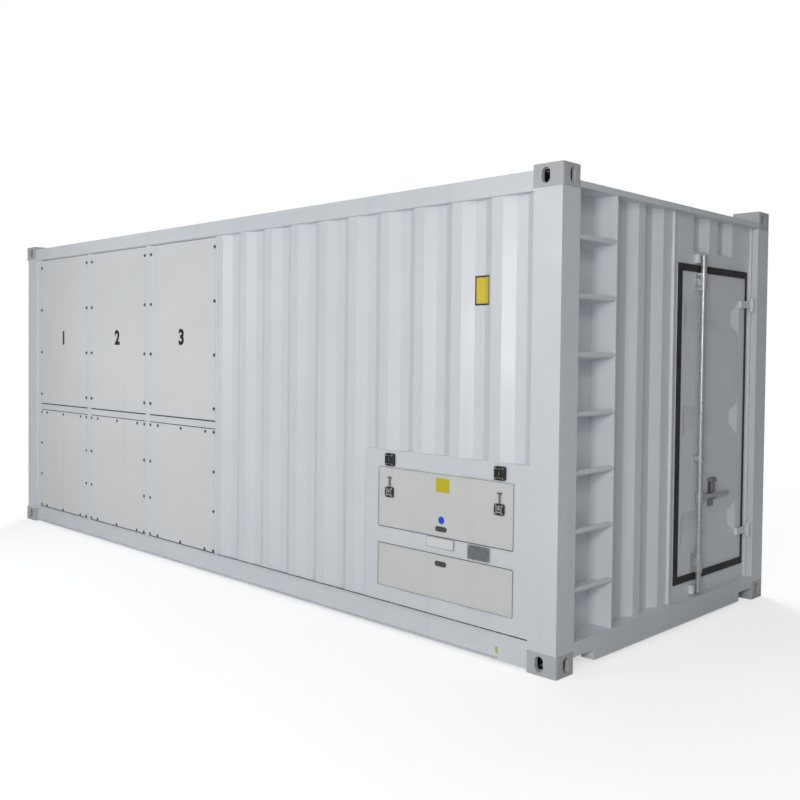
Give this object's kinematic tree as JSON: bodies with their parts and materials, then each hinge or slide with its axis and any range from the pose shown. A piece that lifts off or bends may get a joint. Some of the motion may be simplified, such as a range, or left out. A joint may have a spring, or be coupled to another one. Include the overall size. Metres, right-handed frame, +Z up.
{
  "type": "generator load bank",
  "caption": "Resistive load bank in a 20 ft container body: bolted load covers, control flaps on one side, ladder and barred service door on the end.",
  "frame": {"origin": "under the middle of the body, on the plane of the bottom corner castings", "axes": "+X towards the end with the ladder and service door, -Y towards the side with the load covers and flaps, +Z up"},
  "size_m": [6.058, 2.438, 2.591],
  "materials": {
    "body_paint": "gloss",
    "cover_paint": "satin",
    "roof_paint": "satin",
    "floor_steel": "chequer plate, matt",
    "frame_paint": "satin",
    "galvanised": "zinc plated",
    "bolt_steel": "blackened",
    "gasket_rubber": "matt",
    "latch_black": "moulded",
    "module_steel": "galvanised sheet",
    "element_steel": "heat tinted",
    "motor_paint": "hammered",
    "impeller_alloy": "cast",
    "copper": "bare copper",
    "insulator_red": "moulded",
    "instrument_plastic": "moulded",
    "stop_red": "moulded"
  },
  "bodies": {
    "container": {"corner_castings": "body_paint", "corner_posts": "body_paint", "top_side_rails": "body_paint", "bottom_side_rails": "body_paint", "end_headers": "body_paint", "end_sills": "body_paint", "cross_members": "frame_paint", "floor_deck": "floor_steel", "roof_panel": "roof_paint", "side_wall": "body_paint", "far_side_wall": "body_paint", "end_wall": "body_paint", "ladder_rungs": "body_paint", "door_frame": "body_paint", "hinge_pins": "galvanised", "cover_frame": "body_paint", "upper_covers": "cover_paint", "upper_cover_bolts": "bolt_steel", "module_partitions": "module_steel", "resistor_elements": "element_steel", "intake_louvres": "module_steel", "fan_housings": "module_steel", "fan_motors": "motor_paint", "exhaust_grilles": "module_steel", "control_frame": "body_paint", "control_box": "body_paint", "control_panel": "frame_paint", "panel_instruments": "instrument_plastic", "busbars": "copper", "busbar_insulators": "insulator_red", "flap_keepers": "latch_black"},
    "service_door": {"service_door": "body_paint", "service_door_gasket": "gasket_rubber", "service_door_hinges": "body_paint", "service_door_bar_brackets": "galvanised", "handle_catch": "galvanised"},
    "lock_bar": {"service_door_lock_bar": "galvanised"},
    "hasp": {"handle_hasp": "galvanised"},
    "lower_cover_1": {"lower_cover_1": "cover_paint"},
    "fan_1": {"fan_impeller_1": "impeller_alloy"},
    "roof_hatch_1": {"roof_hatch_1": "roof_paint"},
    "lower_cover_2": {"lower_cover_2": "cover_paint"},
    "fan_2": {"fan_impeller_2": "impeller_alloy"},
    "roof_hatch_2": {"roof_hatch_2": "roof_paint"},
    "lower_cover_3": {"lower_cover_3": "cover_paint"},
    "fan_3": {"fan_impeller_3": "impeller_alloy"},
    "roof_hatch_3": {"roof_hatch_3": "roof_paint"},
    "upper_flap": {"upper_flap": "cover_paint", "latch_boxes": "latch_black"},
    "lower_flap": {"lower_flap": "cover_paint"},
    "upper_flap_handle": {"upper_flap_handle": "galvanised"},
    "lower_flap_handle": {"lower_flap_handle": "galvanised"},
    "latch_tee_1": {"latch_tee_1": "galvanised"},
    "latch_tee_2": {"latch_tee_2": "galvanised"},
    "emergency_stop": {"emergency_stop": "stop_red"},
    "selector_switch": {"selector_switch": "instrument_plastic"},
    "cargo_door_left": {"cargo_door_left": "body_paint"},
    "cargo_door_right": {"cargo_door_right": "body_paint"},
    "cargo_lock_bar_left": {"cargo_lock_bar_left": "galvanised"},
    "cargo_lock_bar_right": {"cargo_lock_bar_right": "galvanised"}
  },
  "joints": [
    {"name": "service_door_hinge", "type": "hinge", "parent": "container", "child": "service_door", "pos_m": [3.005, 1.024, 1.2], "axis": [0, 0, 1], "range_deg": [0, 120]},
    {"name": "lock_bar_turn", "type": "hinge", "parent": "service_door", "child": "lock_bar", "pos_m": [3.005, 0.335, 1.2], "axis": [0, 0, -1], "range_deg": [0, 90]},
    {"name": "hasp_swing", "type": "hinge", "parent": "service_door", "child": "hasp", "pos_m": [2.997, 0.525, 0.852], "axis": [0, -1, 0], "range_deg": [0, 100]},
    {"name": "lower_cover_1_off", "type": "slide", "parent": "container", "child": "lower_cover_1", "axis": [0, -1, 0], "range_m": [0, 0.6]},
    {"name": "fan_1_spin", "type": "hinge", "parent": "container", "child": "fan_1", "pos_m": [-0.386, 0, 0.69], "axis": [0, 0, 1], "continuous": true},
    {"name": "roof_hatch_1_hinge", "type": "hinge", "parent": "container", "child": "roof_hatch_1", "pos_m": [-0.386, 0.873, 2.556], "axis": [-1, 0, 0], "range_deg": [0, 95]},
    {"name": "lower_cover_2_off", "type": "slide", "parent": "container", "child": "lower_cover_2", "axis": [0, -1, 0], "range_m": [0, 0.6]},
    {"name": "fan_2_spin", "type": "hinge", "parent": "container", "child": "fan_2", "pos_m": [-1.346, 0, 0.69], "axis": [0, 0, 1], "continuous": true},
    {"name": "roof_hatch_2_hinge", "type": "hinge", "parent": "container", "child": "roof_hatch_2", "pos_m": [-1.346, 0.873, 2.556], "axis": [-1, 0, 0], "range_deg": [0, 95]},
    {"name": "lower_cover_3_off", "type": "slide", "parent": "container", "child": "lower_cover_3", "axis": [0, -1, 0], "range_m": [0, 0.6]},
    {"name": "fan_3_spin", "type": "hinge", "parent": "container", "child": "fan_3", "pos_m": [-2.306, 0, 0.69], "axis": [0, 0, 1], "continuous": true},
    {"name": "roof_hatch_3_hinge", "type": "hinge", "parent": "container", "child": "roof_hatch_3", "pos_m": [-2.306, 0.873, 2.556], "axis": [-1, 0, 0], "range_deg": [0, 95]},
    {"name": "upper_flap_hinge", "type": "hinge", "parent": "container", "child": "upper_flap", "pos_m": [2.2495, -1.2043, 0.9613], "axis": [-1, 0, 0], "range_deg": [0, 95]},
    {"name": "lower_flap_hinge", "type": "hinge", "parent": "container", "child": "lower_flap", "pos_m": [2.2495, -1.2043, 0.2487], "axis": [1, 0, 0], "range_deg": [0, 95]},
    {"name": "upper_flap_handle_lift", "type": "hinge", "parent": "upper_flap", "child": "upper_flap_handle", "pos_m": [2.244, -1.2, 0.658], "axis": [-1, 0, 0], "range_deg": [0, 35], "stiffness_Nm_per_rad": 0.4},
    {"name": "lower_flap_handle_lift", "type": "hinge", "parent": "lower_flap", "child": "lower_flap_handle", "pos_m": [2.244, -1.2, 0.462], "axis": [-1, 0, 0], "range_deg": [0, 35], "stiffness_Nm_per_rad": 0.4},
    {"name": "latch_tee_1_lift", "type": "slide", "parent": "upper_flap", "child": "latch_tee_1", "axis": [0, 0, 1], "range_m": [0, 0.03]},
    {"name": "latch_tee_2_lift", "type": "slide", "parent": "upper_flap", "child": "latch_tee_2", "axis": [0, 0, 1], "range_m": [0, 0.03]},
    {"name": "emergency_stop_press", "type": "slide", "parent": "container", "child": "emergency_stop", "axis": [0, 1, 0], "range_m": [0, 0.004], "stiffness_N_per_m": 1500},
    {"name": "selector_switch_turn", "type": "hinge", "parent": "container", "child": "selector_switch", "pos_m": [2.455, -1.129, 0.726], "axis": [0, 1, 0], "range_deg": [-45, 45]},
    {"name": "cargo_door_left_hinge", "type": "hinge", "parent": "container", "child": "cargo_door_left", "pos_m": [-3.015, 1.15, 1.3], "axis": [0, 0, -1], "range_deg": [0, 170]},
    {"name": "cargo_door_right_hinge", "type": "hinge", "parent": "container", "child": "cargo_door_right", "pos_m": [-3.015, -1.15, 1.3], "axis": [0, 0, 1], "range_deg": [0, 170]},
    {"name": "cargo_lock_bar_left_turn", "type": "hinge", "parent": "cargo_door_left", "child": "cargo_lock_bar_left", "pos_m": [-3.01, 0.3, 1.3], "axis": [0, 0, 1], "range_deg": [0, 90]},
    {"name": "cargo_lock_bar_right_turn", "type": "hinge", "parent": "cargo_door_right", "child": "cargo_lock_bar_right", "pos_m": [-3.01, -0.3, 1.3], "axis": [0, 0, -1], "range_deg": [0, 90]}
  ]
}
